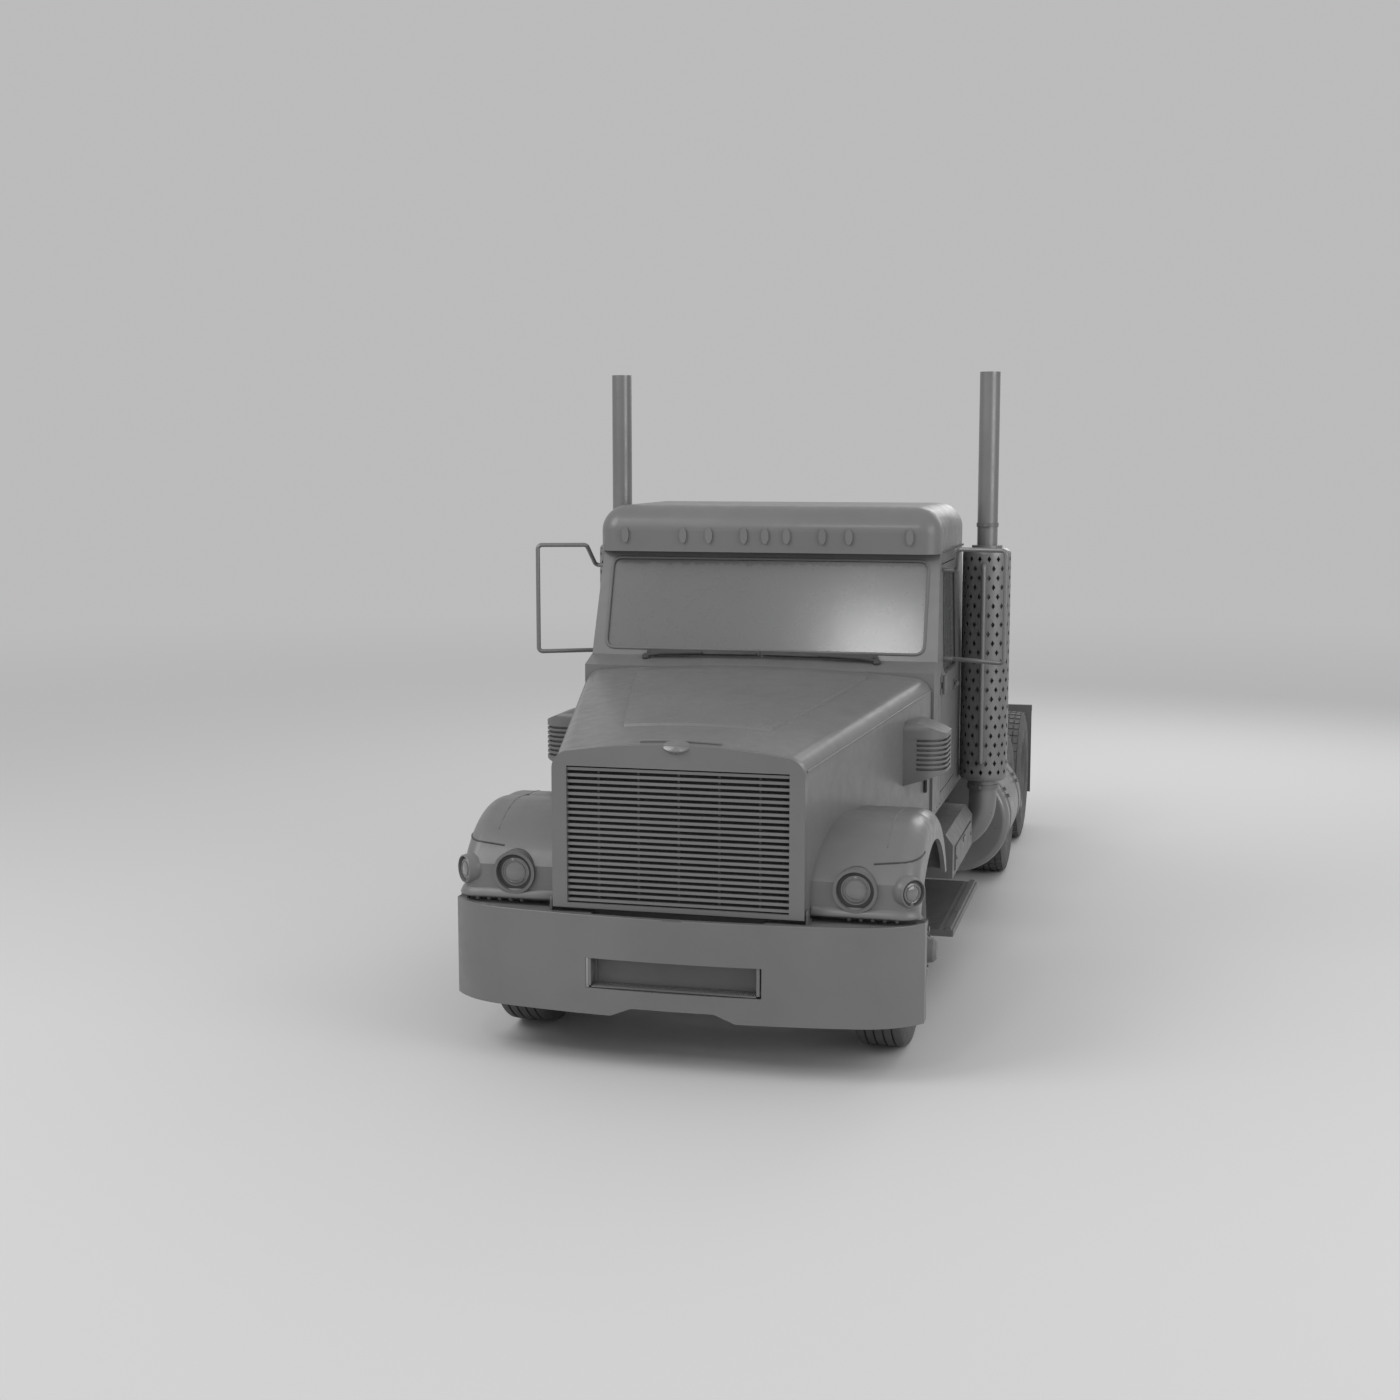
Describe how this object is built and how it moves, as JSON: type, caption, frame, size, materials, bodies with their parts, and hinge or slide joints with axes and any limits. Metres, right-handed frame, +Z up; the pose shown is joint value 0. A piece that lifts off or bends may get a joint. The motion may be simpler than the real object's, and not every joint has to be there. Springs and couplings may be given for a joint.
{
  "type": "semi truck tractor unit",
  "caption": "Bonneted semi truck tractor unit with a day cab, tilting hood with its fenders, twin exhaust stacks, tandem drive axles and a rocking coupling plate.",
  "frame": {"origin": "on the ground, below the middle of the truck's length and width", "axes": "+X is the truck's left side, +Y runs to its rear, +Z is up; the truck faces -Y"},
  "size_m": [2.876, 7.41, 3.6249],
  "materials": {
    "paint": "satin grey paint",
    "frame_paint": "satin dark paint",
    "tyre": "matt rubber",
    "alloy": "brushed",
    "bright": "polished",
    "steel": "machined",
    "iron": "cast",
    "glass": "clear",
    "lens": "ribbed lens",
    "trim": "grained",
    "rubber": "matt",
    "seat_cover": "woven"
  },
  "bodies": {
    "chassis": {"cab_mounts": "rubber", "cab_roof": "paint", "cab_shell": "paint", "coupling_stand": "frame_paint", "cross_members": "frame_paint", "dashboard": "trim", "door_hinges": "steel", "drive_axles": "iron", "driveline": "iron", "engine_block": "iron", "exhaust_guards": "bright", "exhaust_pipes": "steel", "exhaust_stacks": "bright", "frame_rails": "frame_paint", "front_axle": "iron", "front_bumper": "bright", "fuel_tanks": "alloy", "hood_hinge": "frame_paint", "leaf_springs": "steel", "marker_lamps": "lens", "mud_flaps": "rubber", "radiator": "alloy", "rear_suspension": "iron", "rear_window": "glass", "running_boards": "alloy", "seats": "seat_cover", "steering_column": "steel", "step_boxes": "alloy", "windscreen": "glass"},
    "hood": {"air_cleaners": "bright", "fenders": "paint", "grille_slats": "bright", "grille_surround": "bright", "headlamps": "lens", "hood_shell": "paint"},
    "steering_wheel": {"steering_wheel": "trim"},
    "tie_rod": {"tie_rod": "steel"},
    "coupling_plate": {"coupling_plate": "steel"},
    "door_left": {"door_left": "paint", "door_glass_left": "glass", "mirror_hoop_left": "bright"},
    "knuckle_left": {"knuckle_left": "iron"},
    "front_wheel_left": {"front_tyre_left": "tyre", "front_wheel_left": "alloy"},
    "drive_wheel_1_left": {"drive_tyres_1_left": "tyre", "drive_wheels_1_left": "alloy"},
    "drive_wheel_2_left": {"drive_tyres_2_left": "tyre", "drive_wheels_2_left": "alloy"},
    "door_right": {"door_right": "paint", "door_glass_right": "glass", "mirror_hoop_right": "bright"},
    "knuckle_right": {"knuckle_right": "iron"},
    "front_wheel_right": {"front_tyre_right": "tyre", "front_wheel_right": "alloy"},
    "drive_wheel_1_right": {"drive_tyres_1_right": "tyre", "drive_wheels_1_right": "alloy"},
    "drive_wheel_2_right": {"drive_tyres_2_right": "tyre", "drive_wheels_2_right": "alloy"}
  },
  "joints": [
    {"name": "hood_tilt", "type": "hinge", "parent": "chassis", "child": "hood", "pos_m": [0, -3.575, 0.848], "axis": [1, 0, 0], "range_deg": [0, 75]},
    {"name": "steering_wheel_turn", "type": "hinge", "parent": "chassis", "child": "steering_wheel", "pos_m": [0.48, -1.31706, 1.80074], "axis": [0, 0.7431, 0.6691], "range_deg": [-560, 560]},
    {"name": "steer_left", "type": "hinge", "parent": "chassis", "child": "knuckle_left", "pos_m": [0.79, -2.845, 0.515], "axis": [0, 0, 1], "range_deg": [-35, 35]},
    {"name": "steer_right", "type": "hinge", "parent": "chassis", "child": "knuckle_right", "pos_m": [-0.79, -2.845, 0.515], "axis": [0, 0, 1], "range_deg": [-35, 35]},
    {"name": "tie_rod_left_end", "type": "hinge", "parent": "knuckle_left", "child": "tie_rod", "pos_m": [0.79, -2.645, 0.38], "axis": [0, 0, 1], "range_deg": [-35, 35]},
    {"name": "coupling_rock", "type": "hinge", "parent": "chassis", "child": "coupling_plate", "pos_m": [0, 2.315, 1.12], "axis": [1, 0, 0], "range_deg": [-12, 12]},
    {"name": "front_wheel_left_spin", "type": "hinge", "parent": "knuckle_left", "child": "front_wheel_left", "pos_m": [0.97, -2.845, 0.515], "axis": [1, 0, 0], "continuous": true},
    {"name": "drive_wheel_1_left_spin", "type": "hinge", "parent": "chassis", "child": "drive_wheel_1_left", "pos_m": [0.8925, 1.655, 0.515], "axis": [1, 0, 0], "continuous": true},
    {"name": "drive_wheel_2_left_spin", "type": "hinge", "parent": "chassis", "child": "drive_wheel_2_left", "pos_m": [0.8925, 2.975, 0.515], "axis": [1, 0, 0], "continuous": true},
    {"name": "door_left_swing", "type": "hinge", "parent": "chassis", "child": "door_left", "pos_m": [1.065, -1.405, 1.7], "axis": [0, 0, -1], "range_deg": [0, 65]},
    {"name": "front_wheel_right_spin", "type": "hinge", "parent": "knuckle_right", "child": "front_wheel_right", "pos_m": [-0.97, -2.845, 0.515], "axis": [1, 0, 0], "continuous": true},
    {"name": "drive_wheel_1_right_spin", "type": "hinge", "parent": "chassis", "child": "drive_wheel_1_right", "pos_m": [-0.8925, 1.655, 0.515], "axis": [1, 0, 0], "continuous": true},
    {"name": "drive_wheel_2_right_spin", "type": "hinge", "parent": "chassis", "child": "drive_wheel_2_right", "pos_m": [-0.8925, 2.975, 0.515], "axis": [1, 0, 0], "continuous": true},
    {"name": "door_right_swing", "type": "hinge", "parent": "chassis", "child": "door_right", "pos_m": [-1.065, -1.405, 1.7], "axis": [0, 0, 1], "range_deg": [0, 65]}
  ],
  "couplings": [
    {"joint": "steer_right", "follows": "steer_left", "ratio": 1},
    {"joint": "tie_rod_left_end", "follows": "steer_left", "ratio": -1},
    {"joint": "steering_wheel_turn", "follows": "steer_left", "ratio": 16}
  ]
}
